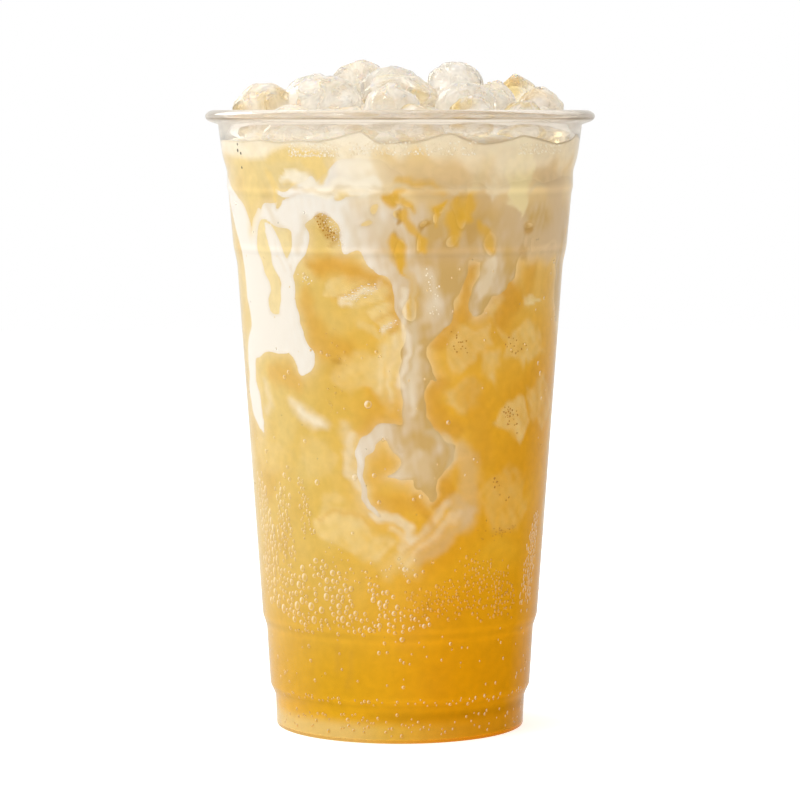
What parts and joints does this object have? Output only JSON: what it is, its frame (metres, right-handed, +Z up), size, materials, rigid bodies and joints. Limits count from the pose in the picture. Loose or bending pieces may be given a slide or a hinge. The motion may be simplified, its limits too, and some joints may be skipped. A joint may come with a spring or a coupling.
{
  "type": "dirty soda",
  "caption": "Iced pineapple-coloured soda with poured cream swirls in a tall clear plastic cup, topped with a heap of ice lumps standing above the rolled rim.",
  "frame": {"origin": "middle of the foot ring, on the surface the cup stands on", "axes": "+Z up along the cup's axis, -Y towards the pictured side, +X to its right"},
  "size_m": [0.098, 0.098, 0.1683],
  "materials": {
    "clear_plastic": "clear thermoformed PET, gloss, faintly warm",
    "soda": "cloudy golden liquid",
    "cream": "smooth opaque cream",
    "ice": "wet clear ice"
  },
  "bodies": {
    "root": {"cup": "clear_plastic", "drink": "soda", "cream": "cream", "ice_heap": "ice"}
  },
  "joints": []
}
